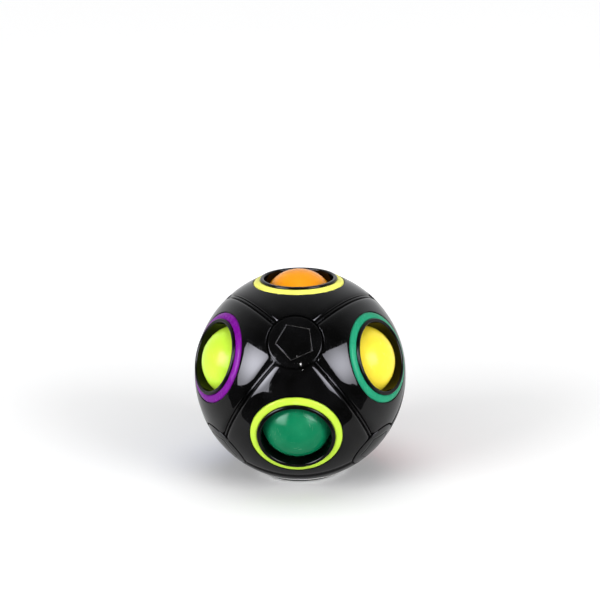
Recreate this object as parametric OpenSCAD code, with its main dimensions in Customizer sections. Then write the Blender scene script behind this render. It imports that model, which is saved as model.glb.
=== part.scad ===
// Sliding-ball puzzle: a hollow black sphere with eight round holes, seven coloured balls that are
// sprung outward into the holes by a sponge core, and one empty hole to move a ball into.
//
// The design frame has its origin in the middle of the sphere. The six caps lie along its axes and
// the eight holes along the corners of a cube. to_rest() then turns one corner up, stands the
// opposite, empty hole's lip on the ground, and puts the first cap at the front.

/* [Shell] */
// Outside diameter of the shell
shell_d = 65; // [60:0.5:75]
// Thickness of the shell wall
wall = 2.8; // [2.6:0.1:3.2]
// Length of the tongue inside the seam
tongue_l = 2; // [1:0.1:2.5]

/* [Balls and holes] */
// Diameter of each coloured ball
ball_d = 22.4; // [22:0.1:23]
// Inside diameter of a hole's lip
hole_d = 21; // [20:0.1:21.4]
// How far a seated ball stands out of the sphere
ball_proud = 0.8; // [0.4:0.1:1.2]
// Gap between a seated ball and its seat
seat_gap = 0.1; // [0.05:0.01:0.2]

/* [Lips and rings] */
// Width of a hole's black lip
lip_w = 1.2; // [1:0.1:1.4]
// How far a lip stands out of the sphere
lip_rise = 0.58; // [0.4:0.01:0.8]
// Width of a coloured ring, from the lip outward
ring_w = 2; // [1.6:0.1:2.4]
// Thickness of a coloured ring at its outer edge
ring_t = 1; // [0.8:0.1:1.2]

/* [Caps and grooves] */
// Diameter of a cap
cap_d = 15.9; // [14:0.1:16.5]
// Width of the round groove left around a cap
cap_groove = 0.65; // [0.4:0.05:0.8]
// Thickness of a cap
cap_t = 1; // [0.8:0.1:1.1]
// Distance from a pentagon's middle to its corners
pentagon_r = 6.05; // [5:0.05:6.5]
// Turn of the pentagon about its cap's axis
pentagon_turn = 16; // [0:1:71]
// Width of the straight grooves between the caps
groove_w = 1.6; // [1:0.05:1.8]
// Depth of the straight grooves
groove_depth = 0.6; // [0.3:0.05:0.7]
// Width of the low bead along the middle of a straight groove
bead_w = 0.45; // [0.3:0.05:0.6]
// Height of the bead above the groove's floor
bead_h = 0.25; // [0.1:0.05:0.4]

/* [Hidden] */
$fn = 96;
shell_r = shell_d / 2;
inner_r = shell_r - wall;
far = 2 * shell_d;

// Seam: a tongue on the rear shell fits a step inside the front shell
tongue_t = 1;
tongue_gap = 0.1;

// Ball seat: the ball touches a cone that faces it at seat_angle from the hole's axis
ball_r = ball_d / 2;
hole_r = hole_d / 2;
seat_dist = shell_r + ball_proud - ball_r;
seat_angle = asin(hole_r / (ball_r + seat_gap));
seat_z = seat_dist + (ball_r + seat_gap) * cos(seat_angle);
seat_l = 0.55;
core_gap = 0.05;

// Bezel: the collar inside the hole, with its lip outside and its flange inside the shell
fit_gap = 0.02;
lip_round = 0.45;
bezel_r = hole_r + lip_w;
lip_top = sqrt(pow(shell_r, 2) - pow(bezel_r, 2)) + lip_rise;
collar_z = seat_z - seat_l;
flange_r = bezel_r + 1.2;

// Ring: sits in a step around the hole, flush with the sphere
ring_out = bezel_r + ring_w;
ring_floor = sqrt(pow(shell_r, 2) - pow(ring_out, 2)) - ring_t;
ring_gap = 0.25;

// Cap: sits in a round pocket, with a peg on either side of its middle
cap_r = cap_d / 2;
pocket_r = cap_r + cap_groove;
pocket_floor = shell_r - cap_t;
peg_r = 1.2;
peg_offset = 4;
line_w = 0.4;
line_depth = 0.2;

// Grooves: each runs a little way into the pockets at its ends
groove_start = asin(pocket_r / shell_r) - 0.5;

CORNER_NAMES = [
    "top", "upper_left", "upper_right", "upper_back",
    "lower_front", "lower_back_left", "lower_back_right", "bottom"
];
CORNERS = [
    [1, 1, 1], [1, -1, 1], [1, 1, -1], [-1, 1, 1],
    [1, -1, -1], [-1, -1, 1], [-1, 1, -1], [-1, -1, -1]
];
RING_COLORS = [
    "Gold", "DarkMagenta", "SeaGreen", "OrangeRed",
    "YellowGreen", "DodgerBlue", "DeepPink", "White"
];

// One ball for each corner but the last, which is empty
BALL_NAMES = ["orange", "lime", "yellow", "purple", "green", "blue", "red"];
BALL_COLORS = ["Orange", "GreenYellow", "Yellow", "MediumPurple", "SeaGreen", "RoyalBlue", "Crimson"];

FACE_NAMES = ["front", "upper_right", "upper_left", "rear", "lower_left", "lower_right"];
FACES = [[1, 0, 0], [0, 1, 0], [0, 0, 1], [-1, 0, 0], [0, -1, 0], [0, 0, -1]];

// Turns the design frame so that its first corner points up, and stands the puzzle on its lip
module to_rest() {
    translate([0, 0, lip_top])
        rotate([0, 0, -30])
            rotate([0, -acos(1 / sqrt(3)), 0])
                rotate([0, 0, -45])
                    children();
}

// Turns +Z onto a direction of the design frame
module along(v) {
    rotate([0, acos(v[2] / norm(v)), atan2(v[1], v[0])]) children();
}

// As along(), with the pegs' line lying across the seam on the caps that cover it
module along_face(f) {
    along(f) rotate([0, 0, f[2] == 0 ? 0 : 90]) children();
}

// The half of space in front of the seam (side 1) or behind it (side -1)
module half_space(side) {
    translate([side > 0 ? 0 : -far, -far / 2, -far / 2]) cube(far);
}

// Room for a bezel and its ring
module hole_cut() {
    translate([0, 0, collar_z]) cylinder(r = bezel_r + fit_gap, h = shell_r);
    translate([0, 0, ring_floor]) cylinder(r = ring_out + ring_gap, h = shell_r);
}

// Room for a cap and its two pegs
module cap_cut() {
    difference() {
        cylinder(r = pocket_r, h = far / 2);
        sphere(r = pocket_floor);
    }
    pegs(peg_r + fit_gap, inner_r - wall, shell_r);
}

module pegs(r, low, high) {
    for (s = [-1, 1])
        translate([0, s * peg_offset, low]) cylinder(r = r, h = high - low);
}

// Turns the XY plane onto the plane across axis k of the design frame
module across(k) {
    rotate(k == 0 ? [90, 0, 90] : k == 1 ? [90, 0, 0] : [0, 0, 0]) children();
}

// The straight grooves that one half of the shell carries, each an arc between two caps
module grooves(side) {
    for (k = [0:2], q = [0:3])
        if (k == 0 || cos(45 + 90 * q) * side > 0)
            across(k) rotate([0, 0, 90 * q + groove_start])
                rotate_extrude(angle = 90 - 2 * groove_start) groove_profile();
}

// Cross-section of a straight groove: a flat channel around a low bead
module groove_profile() {
    translate([shell_r - groove_depth, 0]) difference() {
        translate([0, -groove_w / 2]) square([1 + groove_depth, groove_w]);
        translate([-1, -bead_w / 2]) square([1 + bead_h, bead_w]);
    }
}

module half_shell(side) {
    difference() {
        intersection() {
            sphere(r = shell_r);
            half_space(side);
        }
        sphere(r = inner_r);
        for (c = CORNERS)
            if (c[0] * side > 0) along(c) hole_cut();
        for (f = FACES)
            if (f[0] * side >= 0) along_face(f) cap_cut();
        grooves(side);
    }
}

// A thin sphere-shaped band from the seam forward
module seam_band(outer, inner, length) {
    difference() {
        intersection() {
            sphere(r = outer);
            translate([-0.01, -far / 2, -far / 2]) cube([length + 0.01, far, far]);
        }
        sphere(r = inner);
    }
}

module front_shell() {
    color("#141416") to_rest() difference() {
        half_shell(1);
        seam_band(inner_r + tongue_t + tongue_gap, inner_r - 1, tongue_l + tongue_gap);
    }
}

module rear_shell() {
    color("#141416") to_rest() union() {
        half_shell(-1);
        seam_band(inner_r + tongue_t, inner_r, tongue_l);
    }
}

// Height of the shell's inner face above the sphere's middle, at a distance from a hole's axis
function under_shell(r) = sqrt(pow(inner_r - fit_gap, 2) - pow(r, 2));

// Half cross-section of a bezel: collar, rounded lip, inner flange and the cone that seats the ball
module bezel_profile() {
    round_z = lip_top - lip_round;
    polygon([
        [hole_r, seat_z],
        [hole_r + seat_l / tan(seat_angle), collar_z],
        [flange_r, collar_z],
        [flange_r, under_shell(flange_r)],
        [bezel_r, under_shell(bezel_r)],
        [bezel_r, round_z],
        [hole_r, round_z]
    ]);
    translate([hole_r + lip_round, round_z - 0.1]) square([lip_w - 2 * lip_round, lip_round + 0.1]);
    for (x = [hole_r + lip_round, bezel_r - lip_round])
        translate([x, round_z]) circle(r = lip_round);
}

module bezel(i) {
    color("#0c0c0e") to_rest() along(CORNERS[i]) rotate_extrude() bezel_profile();
}

module ring(i) {
    color(RING_COLORS[i]) to_rest() along(CORNERS[i]) rotate_extrude() intersection() {
        translate([bezel_r + fit_gap, ring_floor]) square([ring_w - fit_gap, far]);
        circle(r = shell_r);
    }
}

// Raised outline of a regular pentagon, as a prism
module pentagon_line() {
    linear_extrude(far / 2) rotate([0, 0, pentagon_turn]) difference() {
        circle(r = pentagon_r, $fn = 5);
        circle(r = pentagon_r - line_w / cos(36), $fn = 5);
    }
}

module cap(i) {
    color("#101012") to_rest() along_face(FACES[i]) {
        difference() {
            intersection() {
                cylinder(r = cap_r, h = far / 2);
                sphere(r = shell_r);
            }
            sphere(r = pocket_floor);
            difference() {
                pentagon_line();
                sphere(r = shell_r - line_depth);
            }
        }
        pegs(peg_r, inner_r - 0.2, pocket_floor + 0.1);
    }
}

module ball(i) {
    color(BALL_COLORS[i]) to_rest() along(CORNERS[i])
        translate([0, 0, seat_dist]) sphere(r = ball_r);
}

module sponge_core() {
    color("DimGray") to_rest() sphere(r = seat_dist - ball_r - core_gap);
}

front_shell();
rear_shell();
sponge_core();
for (i = [0:len(CORNERS) - 1]) {
    bezel(i);
    ring(i);
}
for (i = [0:len(FACES) - 1])
    cap(i);
for (i = [0:len(BALL_NAMES) - 1])
    ball(i);
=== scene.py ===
"""Sliding-ball puzzle: detailed pieces, materials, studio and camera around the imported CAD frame.

Shapes are worked out in the puzzle's design frame, in millimetres: the origin is the middle of the
sphere, the six caps lie along the axes and the eight holes along the corners of a cube. place()
turns them into the row frame, in metres.
"""
import math

import bpy
import numpy as np
from mathutils import Matrix, Vector, noise


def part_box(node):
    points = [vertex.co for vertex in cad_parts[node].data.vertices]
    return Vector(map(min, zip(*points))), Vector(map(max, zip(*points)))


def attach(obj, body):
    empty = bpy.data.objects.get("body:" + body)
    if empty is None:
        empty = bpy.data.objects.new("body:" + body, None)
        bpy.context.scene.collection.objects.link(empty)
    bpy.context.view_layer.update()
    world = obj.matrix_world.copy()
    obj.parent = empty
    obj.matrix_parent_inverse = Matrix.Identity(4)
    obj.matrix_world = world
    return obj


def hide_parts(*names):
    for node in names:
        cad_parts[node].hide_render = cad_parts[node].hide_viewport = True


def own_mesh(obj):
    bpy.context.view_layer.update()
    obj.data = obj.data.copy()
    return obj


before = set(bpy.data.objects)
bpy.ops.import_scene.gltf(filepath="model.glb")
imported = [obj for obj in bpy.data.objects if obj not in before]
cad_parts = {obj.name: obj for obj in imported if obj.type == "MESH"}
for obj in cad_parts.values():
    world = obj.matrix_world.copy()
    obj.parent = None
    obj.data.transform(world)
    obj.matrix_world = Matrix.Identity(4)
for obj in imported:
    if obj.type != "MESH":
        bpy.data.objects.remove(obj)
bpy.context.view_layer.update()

MM = 0.001

# Sizes of the CAD model, in millimetres: heights are along a hole's axis, from the sphere's middle
SHELL_R = 32.5
INNER_R = 29.7
HOLE_R = 10.5
BEZEL_R = 11.7
BEZEL_BORE = 11.72
FLANGE_R = 12.9
LIP_TOP = 30.901
LIP_ROUND = 0.45
SEAT_Z = 26.283         # this and the next two are within 0.05 mm of the CAD's
COLLAR_Z = 25.733
SEAT_IN = 0.26
RING_IN = 11.72
RING_OUT = 13.7
STEP_R = 13.95
STEP_Z = 28.471
CAP_R = 7.95
POCKET_R = 8.6
POCKET_FLOOR = 31.5
PENTAGON_R = 6.05
PENTAGON_TURN = 16.0    # in degrees
BALL_R = 11.2
SEAT_DIST = 22.1
PRESS_DEPTH = 5.0
CORE_R = 10.85

CORNERS = {
    "top": (1, 1, 1), "upper_left": (1, -1, 1), "upper_right": (1, 1, -1), "upper_back": (-1, 1, 1),
    "lower_front": (1, -1, -1), "lower_back_left": (-1, -1, 1), "lower_back_right": (-1, 1, -1),
    "bottom": (-1, -1, -1),
}
FACES = {
    "front": (1, 0, 0), "upper_right": (0, 1, 0), "upper_left": (0, 0, 1),
    "rear": (-1, 0, 0), "lower_left": (0, -1, 0), "lower_right": (0, 0, -1),
}
BALL_CORNERS = {
    "orange": "top", "lime": "upper_left", "yellow": "upper_right", "purple": "upper_back",
    "green": "lower_front", "blue": "lower_back_left", "red": "lower_back_right",
}
RING_SLOTS = {
    "top": "yellow", "upper_left": "purple", "upper_right": "green", "upper_back": "orange",
    "lower_front": "lime", "lower_back_left": "blue", "lower_back_right": "pink", "bottom": "white",
}


# ---------------------------------------------------------------- frame and mesh helpers

def turn(axis, degrees):
    return np.array(Matrix.Rotation(math.radians(degrees), 3, axis))


# The CAD's own turn from the design frame to the row frame
TO_REST = turn("Z", -30) @ turn("Y", -math.degrees(math.acos(1 / math.sqrt(3)))) @ turn("Z", -45)
CENTRE = np.array(sum(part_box("sponge_core"), Vector())) / 2


def unit(v):
    v = np.asarray(v, float)
    return v / np.linalg.norm(v, axis=-1, keepdims=True)


def place(points):
    """Design frame in mm to row frame in metres."""
    return np.asarray(points) @ TO_REST.T * MM + CENTRE


def along(v):
    """The CAD's turn of +Z onto a direction of the design frame."""
    v = unit(v)
    return turn("Z", math.degrees(math.atan2(v[1], v[0]))) @ turn("Y", math.degrees(math.acos(v[2])))


CREASE = 40.0        # angle in degrees above which an edge stays sharp


def make_piece(name, points, faces, material, origin=None):
    """A smooth mesh object from row-frame points. Its texture space starts at origin."""
    origin = np.zeros(3) if origin is None else np.asarray(origin)
    mesh = bpy.data.meshes.new(name)
    mesh.from_pydata((np.asarray(points) - origin).tolist(), [], [list(map(int, f)) for f in faces])
    mesh.validate()
    mesh.update()
    mesh.shade_smooth()
    mesh.set_sharp_from_angle(angle=math.radians(CREASE))
    mesh.materials.append(material)
    piece = bpy.data.objects.new(name, mesh)
    piece.location = origin
    bpy.context.scene.collection.objects.link(piece)
    return piece


def adopt(piece, body, slot, *nodes):
    """The piece rides on a body and stands for CAD nodes, which it hides. slot is not used."""
    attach(piece, body)
    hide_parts(*nodes)


def merged(points, faces, tol=1e-4):
    """Points closer than tol become one, and faces lose repeated corners."""
    key = np.round(points / tol).astype(np.int64)
    _, first, same = np.unique(key, axis=0, return_index=True, return_inverse=True)
    same = same.ravel()
    out = []
    for f in faces:
        g = [int(same[i]) for i in f]
        g = [a for a, b in zip(g, g[1:] + g[:1]) if a != b]
        if len(g) > 2:
            out.append(g)
    return points[first], out


def strip(a, b, closed=False):
    """Quads between two rows of point numbers of equal length."""
    n = len(a)
    last = n if closed else n - 1
    return [(a[i], a[(i + 1) % n], b[(i + 1) % n], b[i]) for i in range(last)]


def arc(cx, cz, r, start, end, n):
    """Points of a circular arc in a lathe profile, angles in degrees."""
    t = np.radians(np.linspace(start, end, n))
    return [(cx + r * math.cos(a), cz + r * math.sin(a)) for a in t]


def lathe(profile, sides, closed=True):
    """Points and faces of a profile of (radius, height) pairs turned about +Z. The profile goes
    counter-clockwise, drawn with the axis on its left; radius 0 makes a pole."""
    t = np.linspace(0, 2 * math.pi, sides, endpoint=False)
    ring = np.stack([np.cos(t), np.sin(t)], 1)
    points = np.concatenate([np.column_stack([ring * r, np.full(sides, z)]) for r, z in profile])
    rows = [list(range(k * sides, (k + 1) * sides)) for k in range(len(profile))]
    pairs = list(zip(rows, rows[1:] + rows[:1])) if closed else list(zip(rows, rows[1:]))
    faces = [q for a, b in pairs for q in strip(a, b, closed=True)]
    return merged(points, faces)


# ---------------------------------------------------------------- shell

GROOVE_REACH = 3.1      # half width of a straight groove with its soft shoulders
GROOVE_EDGE = 0.72      # where a shoulder ends and the slot beside the bead begins
GROOVE_LEVELS = (3.1, 2.75, 2.4, 2.1, 1.85, 1.65, 1.5, 1.38, 1.28, 1.19, 1.1, 1.02, 0.94, 0.86, 0.79,
                 0.72, 0.68, 0.62, 0.56, 0.49)
GROOVE_FLOOR = (0.46, 0.39, 0.32, 0.24, 0.18, 0.13, 0.08, 0.0)
# Slope in degrees of a shoulder at each distance from the groove's middle
SHOULDER_AT = (GROOVE_EDGE, 0.8, 0.95, 1.1, 1.25, 1.4, 1.7, 2.1, 2.6, GROOVE_REACH)
SHOULDER_SLOPE = (52, 45, 36, 27, 18, 12, 7.5, 4.2, 2, 0)
# Depth of the bead and of the slot beside it, up to where the shoulder begins
BEAD_AT = (0, 0.13, 0.18, 0.24, 0.46, 0.49, 0.68, GROOVE_EDGE)
BEAD_DEPTH = (0.36, 0.36, 0.38, 0.46, 0.93, 0.93, 0.59)
POCKET_ROUND = 0.16     # rounding of the panels around the caps
RIM_ROUND = 0.12        # width of a panel's rounded rim around a ring
CORNER_SOFT = 0.55      # how far a panel's corner is rounded
POCKET_STEPS = 18       # columns along one pocket's side of a panel
GROOVE_STEPS = 46       # columns along one groove's side of a panel
PANEL_ROWS = 9


def groove_depth(a):
    """Depth of a straight groove at a distance from its middle: a low flat bead between two narrow
    slots, and soft shoulders."""
    s = np.linspace(GROOVE_EDGE, GROOVE_REACH, 400)
    rise = np.tan(np.radians(np.interp(s, SHOULDER_AT, SHOULDER_SLOPE)))
    run = np.concatenate([[0], np.cumsum((rise[1:] + rise[:-1]) / 2 * np.diff(s))])
    if a >= GROOVE_EDGE:
        return np.interp(a, s, run[-1] - run)
    return np.interp(a, BEAD_AT, BEAD_DEPTH + (run[-1],))


def pocket_edge(depth):
    """Distance from the pocket's wall to where its rounded edge has a depth."""
    d = min(depth, POCKET_ROUND)
    return POCKET_ROUND - math.sqrt(POCKET_ROUND**2 - (POCKET_ROUND - d) ** 2)


def soft_min(a, b, k):
    h = np.maximum(k - np.abs(a - b), 0) / k
    return np.minimum(a, b) - h * h * k / 4


class Octant:
    """The shell's part within one corner of the design frame. Closed rows of points run around the
    hole's axis, from the inner face through the bore to the panel's edge, and the grooves' and
    pockets' blocks follow."""

    def __init__(self):
        self.axis = unit((1, 1, 1))
        self.east = unit(np.array([1, 0, 0]) - self.axis[0] * self.axis)
        self.north = np.cross(self.axis, self.east)
        self.points, self.faces, self.count, self.seams = [], [], 0, {}
        self.pocket_arc = math.asin(POCKET_R / SHELL_R)

    def add(self, points):
        points = np.atleast_2d(points)
        self.points.append(points)
        self.count += len(points)
        return list(range(self.count - len(points), self.count))

    def direction(self, theta, phi):
        theta, phi = np.broadcast_arrays(theta, phi)
        side = np.cos(phi)[..., None] * self.east + np.sin(phi)[..., None] * self.north
        return np.cos(theta)[..., None] * self.axis + np.sin(theta)[..., None] * side

    def corner_azimuth(self, groove, pocket):
        """Azimuth where the groove's and the pocket's offset lines cross."""
        z = math.sin(groove / SHELL_R)
        x = math.cos(self.pocket_arc + pocket / SHELL_R)
        p = np.array([x, math.sqrt(1 - x * x - z * z), z])
        return math.atan2(p @ self.north, p @ self.east)

    def columns(self, corner):
        """Azimuths of all columns, with the corners of the panel at fixed columns."""
        def spread(n):
            t = np.arange(n) / n
            return t - 0.7 * np.sin(2 * math.pi * t) / (2 * math.pi)
        third = 2 * math.pi / 3
        return np.concatenate([
            third * m + part for m in range(3) for part in (
                -corner + 2 * corner * spread(POCKET_STEPS),
                corner + (third - 2 * corner) * spread(GROOVE_STEPS))])

    def offset_row(self, groove, pocket):
        """(angle from the hole's axis, azimuth) of the line at those distances from the groove's
        middle and the pocket's wall."""
        phi = self.columns(self.corner_azimuth(groove, pocket))
        low = np.full(len(phi), math.asin(STEP_R / SHELL_R))
        high = np.full(len(phi), math.acos(1 / math.sqrt(3)))
        for _ in range(40):
            mid = (low + high) / 2
            v = self.direction(mid, phi)
            to_groove = SHELL_R * np.arcsin(v.min(-1)) - groove
            to_pocket = SHELL_R * (np.arccos(np.clip(v.max(-1), -1, 1)) - self.pocket_arc) - pocket
            inside = soft_min(to_groove, to_pocket, CORNER_SOFT) > 0
            low, high = np.where(inside, mid, low), np.where(inside, high, mid)
        return (low + high) / 2, phi

    def build(self):
        levels = [(a, float(groove_depth(a))) for a in GROOVE_LEVELS]
        rows = [self.offset_row(a, pocket_edge(d)) for a, d in levels]
        theta0, phi0 = rows[0]
        edge = [self.direction(*row) * (SHELL_R - d) for row, (_, d) in zip(rows, levels)]
        hole = self.hole_rows(phi0)
        theta_hole = math.asin((STEP_R + RIM_ROUND) / SHELL_R)
        panel = [self.direction(theta_hole + (theta0 - theta_hole) * t, phi0) * SHELL_R
                 for t in np.linspace(0, 1, PANEL_ROWS + 1)[1:-1]]
        inner = self.inner_rows(phi0, rows[-1])
        around = [self.add(r) for r in inner[::-1] + hole + panel + edge]
        for a, b in zip(around, around[1:]):
            self.faces += strip(b, a, closed=True)
        self.outer, self.inside = around[-1], around[0]
        self.outer_dirs = unit(edge[-1])
        n = POCKET_STEPS + GROOVE_STEPS
        self.seam_outer, self.seam_inner = {}, {}
        grooves = [self.groove_block(m, n) for m in range(3)]
        for m in range(3):
            self.pocket_block(m, n, grooves)
        for m in range(3):
            self.seam_chain(m, grooves[m])
        return np.concatenate(self.points)

    def hole_rows(self, phi):
        """From the bore's lower edge up over the ring's step to the rounded rim."""
        def on_sphere(r, radius=SHELL_R):
            return math.sqrt(radius**2 - r**2)
        rim_z, out = on_sphere(STEP_R), STEP_R + RIM_ROUND
        profile = [
            (BEZEL_BORE, on_sphere(BEZEL_BORE, INNER_R)), (BEZEL_BORE, STEP_Z), (STEP_R, STEP_Z),
            (STEP_R, rim_z - 0.16), (STEP_R + 0.02, rim_z - 0.09),
            (STEP_R + 0.06, on_sphere(STEP_R + 0.06) - 0.012), (out, on_sphere(out))]
        side = np.cos(phi)[:, None] * self.east + np.sin(phi)[:, None] * self.north
        return [side * r + self.axis * z for r, z in profile]

    def inner_rows(self, phi, last):
        """On the inner face, from beside the bore out to under the panel's edge."""
        theta = math.asin(BEZEL_BORE / INNER_R)
        out_theta, out_phi = last
        return [self.direction(theta + (out_theta - theta) * t, phi + (out_phi - phi) * t) * INNER_R
                for t in (0.33, 0.67, 1.0)]

    def groove_block(self, m, n):
        """Half of a straight groove's floor, from the panel's last row to the coordinate plane,
        and the inner face under it."""
        size = len(self.outer)
        cols = [(m * n + POCKET_STEPS + i) % size for i in range(GROOVE_STEPS + 1)]
        k = (m + 2) % 3
        v = self.outer_dirs[cols]
        rows, inner = [[self.outer[c] for c in cols]], [[self.inside[c] for c in cols]]
        for a in GROOVE_FLOOR:
            w = v.copy()
            w[:, k] = v[:, k] * a / GROOVE_LEVELS[-1]
            w = unit(w)
            rows.append(self.add(w * (SHELL_R - float(groove_depth(a)))))
            inner.append(self.add(w * INNER_R))
        for a, b in zip(rows, rows[1:]):
            self.faces += strip(b, a)
        for a, b in zip(inner, inner[1:]):
            self.faces += strip(a, b)
        return {"rows": rows, "under": inner[-1]}

    def pocket_block(self, m, n, grooves):
        """A quarter of the pocket under a cap: its wall and floor, and the inner face under it."""
        size = len(self.outer)
        before, after = grooves[(m + 2) % 3]["rows"], grooves[m]["rows"]
        cols = [(m * n + i) % size for i in range(POCKET_STEPS + 1)]
        top = ([r[-1] for r in before[:0:-1]] + [self.outer[c] for c in cols]
               + [r[0] for r in after[1:]])
        points = np.concatenate(self.points)[top]
        dirs, radius = unit(points), np.linalg.norm(points, axis=1)
        pole = np.zeros(3)
        pole[m] = 1
        rows = [top]
        for t in (0.5, 1.0):
            rows.append(self.add(dirs * (radius + (POCKET_FLOOR - radius) * t)[:, None]))
        for t in (0.12, 0.4, 0.7):
            rows.append(self.add(unit(dirs * (1 - t) + pole * t) * POCKET_FLOOR))
        rows.append(self.add(np.repeat(pole[None] * POCKET_FLOOR, len(top), 0)))
        for a, b in zip(rows, rows[1:]):
            self.faces += strip(b, a)
        inner_top = self.add(dirs * INNER_R)
        below = [inner_top, self.add(unit(dirs * 0.5 + pole * 0.5) * INNER_R),
                 self.add(np.repeat(pole[None] * INNER_R, len(top), 0))]
        for a, b in zip(below, below[1:]):
            self.faces += strip(a, b)
        self.seam_outer[m] = rows
        self.seam_inner[m] = below

    def seam_chain(self, m, groove):
        """Faces of the coordinate plane between two caps, from the outside to the inner face.
        Only the ones on the seam are kept."""
        k = (m + 2) % 3
        a, b = m, (m + 1) % 3                       # the pockets at the groove's two ends
        out_a = [r[-1] for r in self.seam_outer[a]]     # wall top to pole
        in_a = [r[-1] for r in self.seam_inner[a]]
        out_b = [r[0] for r in self.seam_outer[b]]
        in_b = [r[0] for r in self.seam_inner[b]]
        floor, under = groove["rows"][-1], groove["under"]
        seam = [(in_a[0],) + tuple(out_a[2::-1]) + (floor[1], under[1])]
        seam += [(under[i], floor[i], floor[i + 1], under[i + 1]) for i in range(1, len(floor) - 2)]
        seam += [(under[-2], floor[-2]) + tuple(out_b[:3]) + (in_b[0],)]
        self.seams[k] = [face[::-1] for face in seam] + [
            tuple(in_a[::-1]) + tuple(out_a[2:]), tuple(in_b) + tuple(out_b[:1:-1])]


def shell_mesh(front):
    """Points and faces of one half of the shell, in the design frame: four octants and the seam."""
    octant = Octant()
    base = octant.build()
    faces = octant.faces + octant.seams[0]
    all_points, all_faces = [], []
    for y in (1, -1):
        for z in (1, -1):
            sign = np.array([1 if front else -1, y, z])
            start = len(all_points) * len(base)
            flip = np.prod(sign) < 0
            all_points.append(base * sign)
            all_faces += [tuple(start + i for i in (f[::-1] if flip else f)) for f in faces]
    return merged(np.concatenate(all_points), all_faces)


def make_shell(front, material):
    name = "front_shell" if front else "rear_shell"
    points, faces = shell_mesh(front)
    piece = make_piece(name + "_skin", place(points), faces, material)
    adopt(piece, "body", "shell_black", name)


# ---------------------------------------------------------------- bezels, rings, caps

def under_shell(r):
    return math.sqrt((INNER_R - 0.02) ** 2 - r * r)


def bezel_profile():
    """Collar, rounded lip, inner flange and the cone that seats the ball."""
    bead = LIP_TOP - LIP_ROUND
    return (
        [(HOLE_R + SEAT_IN, COLLAR_Z), (FLANGE_R - 0.15, COLLAR_Z), (FLANGE_R, COLLAR_Z + 0.15),
         (FLANGE_R, under_shell(FLANGE_R)), (BEZEL_R, under_shell(BEZEL_R)), (BEZEL_R, 29.2)]
        + arc(BEZEL_R - LIP_ROUND, bead, LIP_ROUND, 0, 90, 10)
        + arc(HOLE_R + LIP_ROUND, bead, LIP_ROUND, 90, 180, 10)
        + [(HOLE_R, 29.0), (HOLE_R, 27.6), (HOLE_R, SEAT_Z + 0.12), (HOLE_R + 0.03, SEAT_Z)]
    )


def make_bezel(name, corner, material):
    points, faces = lathe(bezel_profile(), 144)
    piece = make_piece(f"bezel_{name}_turned", place(points @ along(corner).T), faces, material)
    adopt(piece, "body", "bezel_black", f"bezel_{name}")


RING_CROWN = 0.3     # height of a ring's crown over its edges
RING_SINK = 0.16     # how far its edges lie under the sphere


def ring_profile():
    """A flat-bottomed ring with a crowned top that follows the sphere."""
    out, width = RING_OUT, RING_OUT - RING_IN
    profile = [(RING_IN + 0.02, STEP_Z), (out - 0.02, STEP_Z)]
    for s in np.sin(np.linspace(math.pi / 2, -math.pi / 2, 25)):
        r = RING_IN + width * (s + 1) / 2
        lift = RING_CROWN * (1 - abs(s) ** 3.5) - RING_SINK
        profile.append((r, math.sqrt((SHELL_R + lift) ** 2 - r * r)))
    return profile


def make_ring(name, corner, material):
    points, faces = lathe(ring_profile(), 160)
    piece = make_piece(f"ring_{name}_moulded", place(points @ along(corner).T), faces, material)
    adopt(piece, "body", "ring_" + RING_SLOTS[name], f"ring_{name}")


CAP_ROUND = 0.15     # rounding of a cap's rim
LINE_W = 0.44        # width and depth of a cap's engraved line
LINE_DEPTH = 0.2
LINE_DUST_HIGHLIGHT_SHARE = 0.5     # share of the line's width, in its middle, that holds dust and a painted highlight


def pentagon_factor(t):
    """Distance to a regular pentagon's side at polar angle t, over that to the side's middle."""
    return 1 / np.cos((np.degrees(t) - PENTAGON_TURN) % 72 * math.pi / 180 - math.radians(36))


def cap_mesh():
    """A spherical disc with a rounded rim and a fine engraved pentagon, about +Z. Its rows change
    from pentagons to circles outside the line."""
    sides = 240
    t = np.radians(PENTAGON_TURN) + np.linspace(0, 2 * math.pi, sides, endpoint=False)
    factor = pentagon_factor(t)
    mid = PENTAGON_R * math.cos(math.radians(36)) - LINE_W / 2
    half = LINE_W / 2
    rows = [(mid * s, 0.0, 1.0) for s in (0.0, 0.25, 0.5, 0.75, 0.9)]
    rows += [(mid + half * s, LINE_DEPTH * math.cos(s * math.pi / 2) ** 2, 1.0)
             for s in np.linspace(-1, 1, 13)]
    rows += [(5.5, 0, 0.8), (6.2, 0, 0.45), (6.9, 0, 0.15), (CAP_R - CAP_ROUND - 0.15, 0, 0.0)]
    for a in np.radians(np.linspace(0, 90, 7)):
        rows.append((CAP_R - CAP_ROUND * (1 - math.sin(a)), CAP_ROUND * (1 - math.cos(a)), 0.0))
    points = []
    for r, depth, share in rows:
        radius = r * (1 + share * (factor - 1))
        height = np.sqrt(SHELL_R**2 - radius**2) - depth
        points.append(np.column_stack([radius * np.cos(t), radius * np.sin(t), height]))
    floor = math.sqrt(POCKET_FLOOR**2 - CAP_R**2) + 0.02
    for r, z in ((CAP_R, floor), (0.0, POCKET_FLOOR + 0.02)):
        points.append(np.column_stack([r * np.cos(t), r * np.sin(t), np.full(sides, z)]))
    index = [list(range(k * sides, (k + 1) * sides)) for k in range(len(points))]
    faces = [q for a, b in zip(index, index[1:]) for q in strip(b, a, closed=True)]
    return merged(np.concatenate(points), faces)


def on_line(centre):
    """Whether a face's centre, on a cap about +Z, lies in the engraved line."""
    side = math.hypot(centre[0], centre[1]) / pentagon_factor(math.atan2(centre[1], centre[0]))
    mid = PENTAGON_R * math.cos(math.radians(36)) - LINE_W / 2
    return centre[2] > POCKET_FLOOR and abs(side - mid) < LINE_W * LINE_DUST_HIGHLIGHT_SHARE / 2


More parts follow.
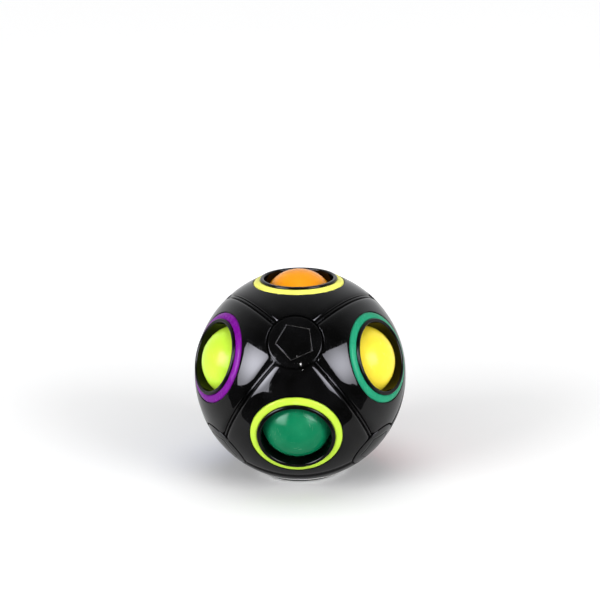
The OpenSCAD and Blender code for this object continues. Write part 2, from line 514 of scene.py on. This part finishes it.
def make_cap(name, face, material, dust_and_highlight):
    points, faces = cap_mesh()
    twist = turn("Z", 0 if face[2] == 0 else 90)
    piece = make_piece(f"cap_{name}_disc", place(points @ (along(face) @ twist).T), faces, material)
    piece.data.materials.append(dust_and_highlight)
    # faces in the line take the dust and painted highlight
    for polygon, corners in zip(piece.data.polygons, faces):
        if on_line(points[corners].mean(0)):
            polygon.material_index = 1
    adopt(piece, "body", "cap_black", f"cap_{name}")


# ---------------------------------------------------------------- balls and sponge

RIDGE = 0.02         # height of the parting ridge around a ball's middle
GATE_LATITUDE = 86.5 # latitude in degrees from which the round gate mark reaches to the pole
GATE_DEPTH = 0.05


def ball_profile():
    """Half circle from pole to pole, with a fine parting ridge at the middle and a gate mark."""
    lats = np.concatenate([np.linspace(-90, -4, 34), [-2, -1.2, -0.8, -0.4, 0, 0.4, 0.8, 1.2, 2],
                           np.linspace(4, 90, 34)])
    profile = []
    for lat in lats:
        r = BALL_R - RIDGE + RIDGE * math.exp(-(lat / 0.5) ** 2)
        if lat > GATE_LATITUDE:
            r -= GATE_DEPTH
        a = math.radians(lat)
        profile.append((max(r * math.cos(a), 0.0), r * math.sin(a)))
    return profile


def make_ball(name, corner, material, tilt):
    centre = sum(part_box(f"ball_{name}"), Vector()) / 2
    points, faces = lathe(ball_profile(), 96, closed=False)
    rest = np.array(centre) + points @ (TO_REST @ along(corner) @ turn("X", tilt)).T * MM
    piece = make_piece(f"ball_{name}_moulded", rest, faces, material, origin=centre)
    adopt(piece, f"{name}_ball", f"ball_{name}", f"ball_{name}")


PAD_STEPS = 40
PAD_SINK = 0.28      # how far the foam's skin lies under the CAD's core
PAD_ROUGH = 0.1
SKIN_GRAIN = 9       # how fine the rough skin and the pores are
PORE_GRAIN = 16
PORE_DEPTH = 0.5
PORE_SIZE = 0.28     # distance from a pore's middle to its rim, in the noise's own unit
NOTCH_GAP = 0.15     # space between the side of a pressed ball and the pads beside it


def pad_limit(v):
    """How far out a pad may reach in a direction of its octant, clear of the balls pressed in over
    the three pads beside it."""
    out, limit = SEAT_DIST - PRESS_DEPTH, CORE_R
    for beside in ((-1, 1, 1), (1, -1, 1), (1, 1, -1)):
        near = float(v @ unit(beside))
        under = BALL_R**2 - out**2 * (1 - near**2)
        if under > 0:
            limit = min(limit, out * near - math.sqrt(under) - NOTCH_GAP)
    return limit


def pad_mesh(sign):
    """One eighth of the sponge ball, closed towards the middle, with pores, a rough skin and a
    notch in the middle of each of its three edges."""
    n, index, points, faces = PAD_STEPS, {}, [], []
    for i in range(n + 1):
        for j in range(n + 1 - i):
            v = unit(np.array([i, j, n - i - j], float) + 1e-9)
            rough = noise.fractal(Vector(v * sign * SKIN_GRAIN), 0.6, 2.0, 4)
            pore = noise.voronoi(Vector(v * sign * PORE_GRAIN))[0][0]
            r = CORE_R - PAD_SINK + PAD_ROUGH * rough
            r -= PORE_DEPTH * max(0.0, PORE_SIZE - pore) / PORE_SIZE
            r = min(r, pad_limit(v))
            index[i, j] = len(points)
            points.append(v * sign * r)
    for i in range(n):
        for j in range(n - i):
            faces.append((index[i, j], index[i + 1, j], index[i, j + 1]))
            if i + j < n - 1:
                faces.append((index[i + 1, j], index[i + 1, j + 1], index[i, j + 1]))
    points.append(np.zeros(3))
    middle = len(points) - 1
    for k in range(n):
        faces.append((index[k + 1, 0], index[k, 0], middle))
        faces.append((index[0, k], index[0, k + 1], middle))
        faces.append((index[k, n - k], index[k + 1, n - k - 1], middle))
    if np.prod(sign) < 0:
        faces = [f[::-1] for f in faces]
    return np.array(points), faces


PRESSED = {"top": "orange_press", "lower_back_left": "blue_press", "upper_left": "lime_press",
           "upper_right": "yellow_press", "upper_back": "purple_press"}


def make_sponge(material):
    """The sponge ball in eight pads; the one under a ball that can be pressed gets a mesh of its own."""
    for name, corner in CORNERS.items():
        points, faces = pad_mesh(np.array(corner))
        pad = make_piece(f"sponge_{name}", place(points), faces, material)
        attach(pad, "body")
        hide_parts("sponge_core")
        if name in PRESSED:
            axis = TO_REST @ unit(corner)
            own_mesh(pad)


# ---------------------------------------------------------------- materials

def to_linear(rgb):
    return tuple((c / 12.92 if c <= 0.04045 else ((c + 0.055) / 1.055) ** 2.4)
                 for c in (x / 255 for x in rgb))


class Nodes:
    """Short names for building a material's node tree."""

    def __init__(self, name):
        self.material = bpy.data.materials.new(name)
        self.material.use_nodes = True
        self.tree = self.material.node_tree
        self.shader = self.tree.nodes["Principled BSDF"]
        self.coords = self.new("ShaderNodeTexCoord").outputs["Object"]

    def new(self, kind, **settings):
        node = self.tree.nodes.new(kind)
        for k, v in settings.items():
            setattr(node, k, v)
        return node

    def link(self, a, b):
        self.tree.links.new(a, b)
        return b

    def noise(self, scale, detail=3.0, roughness=0.5, stretch=None):
        node = self.new("ShaderNodeTexNoise")
        node.inputs["Scale"].default_value = scale
        node.inputs["Detail"].default_value = detail
        node.inputs["Roughness"].default_value = roughness
        if stretch is None:
            self.link(self.coords, node.inputs["Vector"])
        else:
            mapping = self.new("ShaderNodeMapping")
            mapping.inputs["Rotation"].default_value = stretch[0]
            mapping.inputs["Scale"].default_value = stretch[1]
            self.link(self.coords, mapping.inputs["Vector"])
            self.link(mapping.outputs["Vector"], node.inputs["Vector"])
        return node.outputs["Fac"]

    def ramp(self, value, stops):
        node = self.new("ShaderNodeValToRGB")
        self.link(value, node.inputs["Fac"])
        ramp = node.color_ramp
        while len(ramp.elements) < len(stops):
            ramp.elements.new(0.5)
        for element, (at, colour) in zip(ramp.elements, stops):
            element.position = at
            element.color = (colour,) * 3 + (1,) if isinstance(colour, (int, float)) else (*colour, 1)
        return node.outputs["Color"]

    def span(self, value, low, high, to_low, to_high):
        node = self.new("ShaderNodeMapRange")
        self.link(value, node.inputs["Value"])
        for key, v in (("From Min", low), ("From Max", high), ("To Min", to_low), ("To Max", to_high)):
            node.inputs[key].default_value = v
        return node.outputs["Result"]

    def math(self, kind, a, b):
        node = self.new("ShaderNodeMath", operation=kind)
        for socket, v in zip(node.inputs, (a, b)):
            if isinstance(v, (int, float)):
                socket.default_value = v
            else:
                self.link(v, socket)
        return node.outputs[0]

    def bump(self, *layers):
        """Layers of (height, strength, distance in mm), one on another."""
        normal = None
        for height, strength, distance in layers:
            node = self.new("ShaderNodeBump")
            node.inputs["Strength"].default_value = strength
            node.inputs["Distance"].default_value = distance * MM
            self.link(height, node.inputs["Height"])
            if normal is not None:
                self.link(normal, node.inputs["Normal"])
            normal = node.outputs["Normal"]
        self.link(normal, self.shader.inputs["Normal"])

    def set(self, **sockets):
        for name, v in sockets.items():
            self.shader.inputs[name.replace("_", " ")].default_value = v


def scratches(n, scale, low=0.66, high=0.72):
    """Fine hair lines in two directions, 1 on a line and 0 beside it."""
    first = n.span(n.noise(scale, 2, 0.5, ((0.4, 0.9, 0.2), (1, 14, 1))), low, high, 0, 1)
    second = n.span(n.noise(scale * 1.3, 2, 0.5, ((1.1, 0.2, 0.7), (12, 1, 1))), low, high, 0, 1)
    return n.math("MAXIMUM", first, second)


def black_plastic(name, base, roughness, ior=1.39):
    """Glossy black moulding: slight shade changes, a faint ripple and hair lines."""
    n = Nodes(name)
    dark, light = to_linear([base] * 3), to_linear([base + 7, base + 7, base + 8])
    mottle = n.noise(160, 3)
    n.link(n.ramp(mottle, [(0.35, dark), (0.75, light)]), n.shader.inputs["Base Color"])
    hair = scratches(n, 420)
    smear = n.span(n.noise(55, 4, 0.6), 0.35, 0.75, roughness * 0.85, roughness * 1.35)
    rough = n.math("ADD", smear, n.math("MULTIPLY", hair, 0.06))
    n.link(rough, n.shader.inputs["Roughness"])
    n.bump((n.noise(230, 2), 0.25, 0.02), (hair, 0.2, 0.012))
    n.set(IOR=ior)
    return n.material


def line_dust_and_highlight():
    """Fine grey dust lying unevenly in an engraved line, lighter than the black around it, so it also
    paints the highlight that the line catches.
    """
    n = Nodes("line_dust_and_highlight")
    patchy = n.noise(520, 4, 0.7)
    # painted highlight: this grey stands for dust and for the light along the engraved line
    n.link(n.ramp(patchy, [(0.38, to_linear((10, 10, 10))), (0.62, to_linear((58, 57, 55)))]),
           n.shader.inputs["Base Color"])
    n.link(n.span(patchy, 0.3, 0.7, 0.35, 0.7), n.shader.inputs["Roughness"])
    n.bump((n.noise(2400, 2), 0.4, 0.02))
    n.set(Specular_IOR_Level=0.3)
    return n.material


VARY = 0.1           # how far a colour changes to either side over the surface
RUB = 0.35           # how much a scratch pales the colour where the surface is rubbed


def coloured_plastic(name, rgb, roughness, shine):
    """Satin coloured moulding: slight shade changes, fine scratches and worn spots."""
    n = Nodes(name)
    base = np.array(to_linear(rgb))
    pale = np.clip(base * (1 + VARY) + 0.01, 0, 1)
    deep = base * (1 - VARY)
    shade = n.ramp(n.noise(90, 4, 0.55), [(0.3, tuple(deep)), (0.7, tuple(pale))])
    hair = scratches(n, 330)
    rubbed = n.new("ShaderNodeMix", data_type="RGBA")
    places = n.span(n.noise(120, 2), 0.45, 0.65, 0.0, RUB)
    n.link(n.math("MULTIPLY", hair, places), rubbed.inputs[0])
    n.link(shade, rubbed.inputs[6])
    rubbed.inputs[7].default_value = (*(0.75 * base + 0.25), 1)
    n.link(rubbed.outputs[2], n.shader.inputs["Base Color"])
    worn = n.span(n.noise(140, 5, 0.65), 0.3, 0.7, roughness * 0.8, roughness * 1.25)
    n.link(n.math("ADD", worn, n.math("MULTIPLY", hair, 0.12)), n.shader.inputs["Roughness"])
    n.bump((n.noise(300, 3), 0.25, 0.02), (hair, 0.3, 0.012))
    n.set(IOR=1.42, Specular_IOR_Level=shine)
    return n.material


def sponge_foam():
    """Grey open-cell foam whose small pores are painted dark as the shade inside them."""
    n = Nodes("sponge_foam")
    cells = n.new("ShaderNodeTexVoronoi")
    cells.inputs["Scale"].default_value = 1500
    n.link(n.coords, cells.inputs["Vector"])
    pore_height_and_shade = n.span(cells.outputs["Distance"], 0.05, 0.45, 0, 1)
    blotch = n.noise(400, 4, 0.6)
    # painted shade: the pores are coloured dark as the shade in the holes
    colour = n.ramp(n.math("MULTIPLY", pore_height_and_shade, n.span(blotch, 0.2, 0.8, 0.6, 1)),
                    [(0.0, to_linear((34, 34, 36))), (0.6, to_linear((104, 104, 106))),
                     (1.0, to_linear((128, 128, 130)))])
    n.link(colour, n.shader.inputs["Base Color"])
    n.link(n.span(blotch, 0.2, 0.8, 0.8, 0.98), n.shader.inputs["Roughness"])
    n.bump((pore_height_and_shade, 0.8, 0.25), (blotch, 0.4, 0.1))
    n.set(Specular_IOR_Level=0.2)
    return n.material


RING_COLOURS = {
    "yellow": (238, 236, 104), "purple": (114, 0, 138), "green": (24, 142, 104),
    "orange": (240, 110, 20), "lime": (184, 220, 62), "blue": (20, 100, 195),
    "pink": (220, 35, 100), "white": (235, 235, 235),
}
BALL_COLOURS = {
    "orange": (246, 153, 0), "lime": (198, 240, 62), "yellow": (248, 222, 58),
    "purple": (110, 25, 150), "green": (0, 115, 75), "blue": (15, 80, 185), "red": (200, 22, 40),
}


# ---------------------------------------------------------------- studio

TO_CAMERA = unit((0.0517, -0.9492, 0.3104))      # direction from the puzzle's middle
CAMERA_UP = (0.0007, 0.3109, 0.9505)
CAMERA_DISTANCE = 0.637
CAMERA_LENS = 124.1
CAMERA_SHIFT = (-0.0005, 0.1233)
FLOOR_R = 4.0
FADE = (0.35, 1.6)      # distances in metres between which the floor fades into the backdrop
TABLE_EDGE = -0.044     # where the table that the shell reflects ends, in front of the puzzle
PANEL_DISTANCE = 0.6
GLOW_REACH = 0.47       # distance over which a softbox's glow falls off, as a share of its distance
GLOW_RIM = 0.34         # how much of the glow is left there
LAMP_POWER = 2.7
OVERHEAD_POWER = 3.4
ROOM_LIGHT = 0.14       # strength of the room where it lights the scene
BACKDROP = 1.03         # its strength where the camera sees it
FRONT_GLOOM = 0.045     # its least strength in reflections, behind the camera
BACK_SHINE = 0.85       # its most, behind the puzzle
# Corners of the two softboxes and the middles of their glow, as (azimuth from the front, elevation)
# in degrees seen from the puzzle's middle
SOFTBOX_LEFT = [(-72.6, 35.6), (-51.1, 35.7), (-38, 34.5), (-27, 33.5), (-29, 20), (-30, -2.5),
                (-45, -2.5), (-59.7, -1.4), (-65.7, -2.3)]
SOFTBOX_RIGHT = [(71.2, 37.1), (53.8, 38.3), (40, 38), (30, 36), (32, 20), (35, 6), (39, 1.5),
                 (50, 1), (59.1, 0.4), (64, -2.3)]
GLOW_LEFT = (-50.5, 21.5)
GLOW_RIGHT = (51.0, 21.0)
SPOT = [(3.1, 27.4), (4.65, 27.4), (4.7, 29.0), (3.15, 29.0)]


def sky(azimuth, elevation):
    """Direction from the puzzle's middle, from degrees."""
    a, e = math.radians(azimuth), math.radians(elevation)
    return np.array((math.sin(a) * math.cos(e), -math.cos(a) * math.cos(e), math.sin(e)))


def add_camera():
    data = bpy.data.cameras.new("camera")
    data.lens, data.sensor_width = CAMERA_LENS, 36
    data.shift_x, data.shift_y = CAMERA_SHIFT
    data.clip_start, data.clip_end = 0.01, 50
    camera = bpy.data.objects.new("camera", data)
    back = TO_CAMERA
    right = unit(np.cross(CAMERA_UP, back))
    up = np.cross(back, right)
    camera.matrix_world = Matrix.Translation(Vector(CENTRE + back * CAMERA_DISTANCE)) @ Matrix(
        np.column_stack([right, up, back]).tolist()).to_4x4()
    bpy.context.scene.collection.objects.link(camera)
    bpy.context.scene.camera = camera


def glow(name, colour, strength, middle, reach, rim):
    """Emission that falls from strength at the middle to rim times strength at the distance reach."""
    material = bpy.data.materials.new(name)
    material.use_nodes = True
    tree = material.node_tree
    tree.nodes.clear()
    new, link = tree.nodes.new, tree.links.new
    away = new("ShaderNodeVectorMath")
    away.operation = "DISTANCE"
    link(new("ShaderNodeTexCoord").outputs["Object"], away.inputs[0])
    away.inputs[1].default_value = middle
    fall = new("ShaderNodeMapRange")
    fall.interpolation_type = "SMOOTHSTEP"
    link(away.outputs["Value"], fall.inputs["Value"])
    for key, v in (("From Min", 0.0), ("From Max", reach),
                   ("To Min", strength), ("To Max", strength * rim)):
        fall.inputs[key].default_value = v
    emission = new("ShaderNodeEmission")
    emission.inputs["Color"].default_value = (*colour, 1)
    link(fall.outputs[0], emission.inputs["Strength"])
    link(emission.outputs[0], new("ShaderNodeOutputMaterial").inputs["Surface"])
    return material


def add_panel_light(name, corners, middle, colour, strength, rim=1.0):
    """A flat glowing panel whose corners lie in those directions from the puzzle. It shows only in
    reflections; the lamps beside it light the scene."""
    directions = np.array([sky(*c) for c in corners])
    normal = unit(directions.mean(0))
    points = CENTRE + directions * PANEL_DISTANCE / (directions @ normal)[:, None]
    middle = CENTRE + sky(*middle) * PANEL_DISTANCE / (sky(*middle) @ normal)
    mesh = bpy.data.meshes.new(name)
    mesh.from_pydata(points.tolist(), [], [list(range(len(points)))])
    mesh.materials.append(glow(name, colour, strength, middle, GLOW_REACH * PANEL_DISTANCE, rim))
    panel = bpy.data.objects.new(name, mesh)
    panel.visible_camera = panel.visible_diffuse = panel.visible_shadow = False
    bpy.context.scene.collection.objects.link(panel)


def add_lamp(name, direction, distance, size, power):
    """A soft round lamp that doesn't show in reflections."""
    data = bpy.data.lights.new(name, "AREA")
    data.shape, data.size, data.energy = "DISK", size, power
    lamp = bpy.data.objects.new(name, data)
    direction = Vector(unit(direction))
    lamp.location = Vector(CENTRE) + direction * distance
    lamp.rotation_euler = direction.to_track_quat("Z", "Y").to_euler()
    lamp.visible_glossy = lamp.visible_camera = False
    bpy.context.scene.collection.objects.link(lamp)


def add_sheet(name, albedo, near, shine, reach, fade=0.0):
    """A flat pale sheet on the ground, from near to far behind the puzzle. Painted light: it glows,
    none at the puzzle and growing over a short reach, so a painted shade lies around the puzzle. Far
    away it can fade into the bright backdrop."""
    n = Nodes(name)
    n.link(n.ramp(n.noise(3, 2), [(0.3, (albedo - 0.01,) * 3), (0.7, (albedo + 0.01,) * 3)]),
           n.shader.inputs["Base Color"])
    away = n.new("ShaderNodeVectorMath", operation="LENGTH")
    n.link(n.coords, away.inputs[0])
    # painted glow: none at the puzzle and growing to shine at reach, which leaves a painted shade close
    # around the puzzle
    painted_glow_and_shade = n.span(away.outputs["Value"], 0, reach, 0, shine)
    far = n.span(away.outputs["Value"], *FADE, 0, fade)
    n.link(n.math("ADD", painted_glow_and_shade, far), n.shader.inputs["Emission Strength"])
    n.set(Roughness=0.9, Specular_IOR_Level=0.1, Emission_Color=(1, 1, 1, 1))
    mesh = bpy.data.meshes.new(name)
    r = FLOOR_R
    mesh.from_pydata([(-r, near, 0), (r, near, 0), (r, r, 0), (-r, r, 0)], [], [(0, 1, 2, 3)])
    mesh.materials.append(n.material)
    sheet = bpy.data.objects.new(name, mesh)
    bpy.context.scene.collection.objects.link(sheet)
    return sheet


def add_floor():
    """The pale floor, and the table with its front edge that the shell reflects instead."""
    # painted glow on the floor: none at the puzzle and growing over 0.3 m, so the floor is darker near
    # the puzzle
    floor = add_sheet("floor", albedo=0.9, near=-FLOOR_R, shine=0.6, reach=0.3, fade=0.26)
    floor.visible_glossy = False
    # painted glow on the reflected table: none at the puzzle and growing over 5.5 cm, a painted contact
    # shadow in the shell's reflections
    table = add_sheet("table", albedo=0.4, near=TABLE_EDGE, shine=0.5, reach=0.055)
    table.visible_camera = table.visible_diffuse = table.visible_shadow = False


def add_world():
    """A pale even room. In reflections its side behind the camera is dark."""
    world = bpy.data.worlds.new("studio")
    bpy.context.scene.world = world
    world.use_nodes = True
    tree = world.node_tree
    new, link = tree.nodes.new, tree.links.new
    background = tree.nodes["Background"]
    background.inputs["Color"].default_value = (0.97, 0.98, 1, 1)
    split = new("ShaderNodeSeparateXYZ")
    link(new("ShaderNodeTexCoord").outputs["Generated"], split.inputs[0])
    back = new("ShaderNodeMapRange")
    back.interpolation_type = "SMOOTHSTEP"
    link(split.outputs["Y"], back.inputs["Value"])
    for key, v in (("From Min", -0.35), ("From Max", 0.9),
                   ("To Min", FRONT_GLOOM), ("To Max", BACK_SHINE)):
        back.inputs[key].default_value = v
    path = new("ShaderNodeLightPath")
    room, seen = new("ShaderNodeMix"), new("ShaderNodeMix")
    link(path.outputs["Is Camera Ray"], room.inputs[0])
    room.inputs[2].default_value, room.inputs[3].default_value = ROOM_LIGHT, BACKDROP
    link(path.outputs["Is Glossy Ray"], seen.inputs[0])
    link(room.outputs[0], seen.inputs[2])
    link(back.outputs[0], seen.inputs[3])
    link(seen.outputs[0], background.inputs["Strength"])


def add_lights():
    """Two softboxes, the small bright spot on the front cap, and the lamps that light the scene."""
    for name, corners, middle, strength in (("softbox_left", SOFTBOX_LEFT, GLOW_LEFT, 21.6),
                                            ("softbox_right", SOFTBOX_RIGHT, GLOW_RIGHT, 16.0)):
        add_panel_light(name, corners, middle, (0.93, 0.93, 1.03), strength, GLOW_RIM)
        add_lamp(name + "_lamp", sky(*middle), distance=PANEL_DISTANCE, size=0.36, power=LAMP_POWER)
    add_panel_light("spot_card", SPOT, SPOT[0], (1, 1, 1), 50.0)
    add_lamp("overhead", (0.0, 0.05, 1.0), distance=0.9, size=0.8, power=OVERHEAD_POWER)


# ---------------------------------------------------------------- the model

RING_FINISH = (0.24, 0.16)      # roughness and specular level
BALL_FINISH = (0.19, 0.24)
FIRST_TILT, TILT_STEP = 63, 41  # turn in degrees of the first ball's parting ridge, and from ball to ball


def build():
    shell = black_plastic("shell_black", base=3, roughness=0.045)
    bezel = black_plastic("bezel_black", base=4, roughness=0.09, ior=1.33)
    cap = black_plastic("cap_black", base=4, roughness=0.055)
    dust_and_highlight = line_dust_and_highlight()
    make_shell(True, shell)
    make_shell(False, shell)
    for name, face in FACES.items():
        make_cap(name, face, cap, dust_and_highlight)
    for name, corner in CORNERS.items():
        make_bezel(name, corner, bezel)
        slot = RING_SLOTS[name]
        make_ring(name, corner, coloured_plastic("ring_" + slot, RING_COLOURS[slot], *RING_FINISH))
    for i, (name, corner) in enumerate(BALL_CORNERS.items()):
        satin = coloured_plastic("ball_" + name, BALL_COLOURS[name], *BALL_FINISH)
        make_ball(name, CORNERS[corner], satin, FIRST_TILT + TILT_STEP * i)
    make_sponge(sponge_foam())


build()
add_camera()
add_floor()
add_world()
add_lights()
bpy.context.scene.view_settings.view_transform = "Standard"
